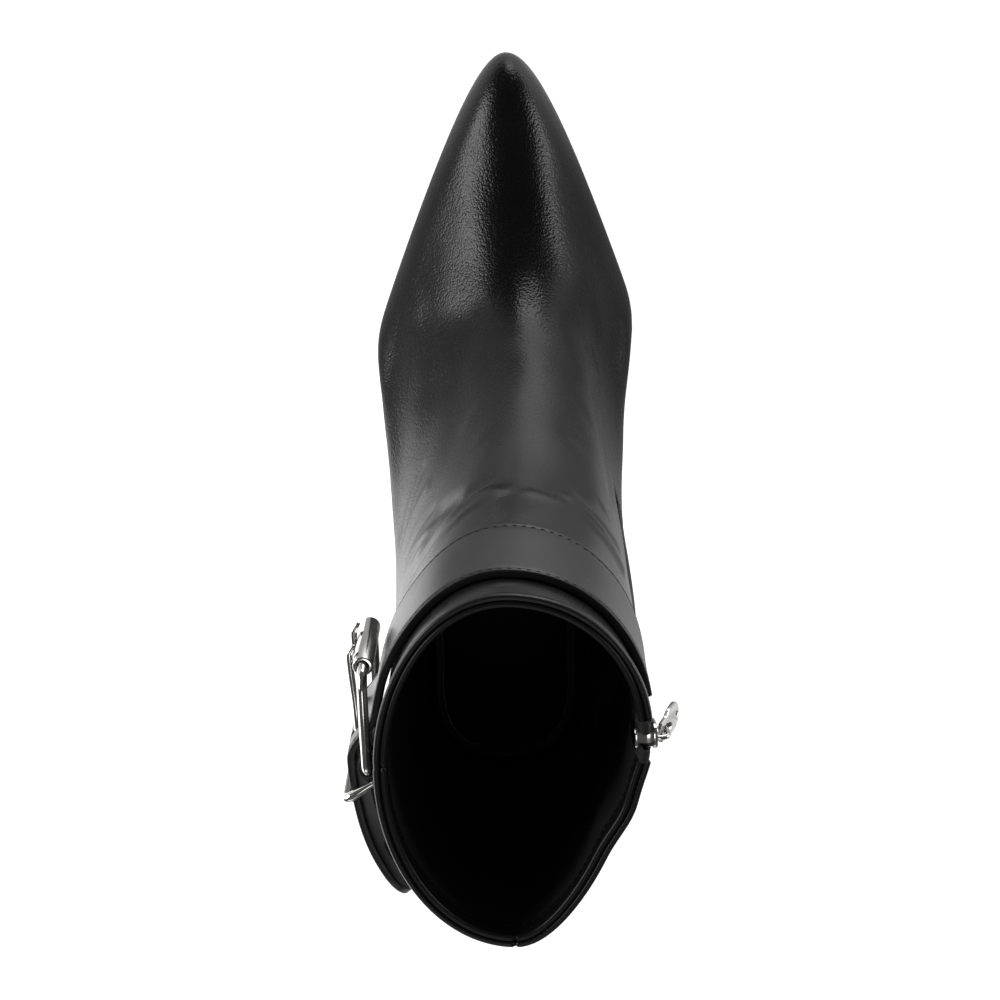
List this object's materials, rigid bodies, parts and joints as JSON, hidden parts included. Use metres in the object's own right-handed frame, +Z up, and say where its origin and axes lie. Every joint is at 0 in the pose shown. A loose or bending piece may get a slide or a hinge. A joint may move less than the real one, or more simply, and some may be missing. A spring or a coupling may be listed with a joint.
{
  "type": "heeled ankle boot",
  "caption": "Black leather ankle boot with a pointed toe, tall slender heel, inner side zip and wide buckled ankle strap, standing empty on its sole.",
  "frame": {"origin": "middle of the boot's outline from above, on the floor that it stands on", "axes": "+X towards the toe, +Y towards the boot's outer side, where the buckle is, +Z up"},
  "size_m": [0.2304, 0.1015, 0.2361],
  "materials": {
    "black_leather": "smooth with a soft sheen",
    "heel_cover": "smooth cover over a hard heel",
    "sole_rubber": "matt",
    "insole_lining": "matt lining",
    "tip_rubber": "matt",
    "nickel_metal": "polished nickel",
    "zip_tape": "woven tape and coil"
  },
  "bodies": {
    "boot": {"upper": "black_leather", "insole": "insole_lining", "outsole": "sole_rubber", "heel": "heel_cover", "heel_tip": "tip_rubber", "ankle_strap": "black_leather", "buckle_strap": "black_leather", "buckle_frame": "nickel_metal", "buckle_prong_upper": "nickel_metal", "buckle_prong_lower": "nickel_metal", "strap_keeper": "nickel_metal", "zip_chain": "zip_tape", "zip_slider": "nickel_metal"},
    "roller": {"buckle_roller": "nickel_metal"},
    "pull_tab": {"zip_pull": "nickel_metal"}
  },
  "joints": [
    {"name": "zip_pull_swing", "type": "hinge", "parent": "boot", "child": "pull_tab", "pos_m": [-0.04609, -0.04463, 0.22637], "axis": [-0.9983, -0.0218, -0.0537], "range_deg": [-16, 112]},
    {"name": "roller_spin", "type": "hinge", "parent": "boot", "child": "roller", "pos_m": [-0.0288, 0.04345, 0.1989], "axis": [-0.0631, 0.0466, 0.9969], "continuous": true}
  ]
}
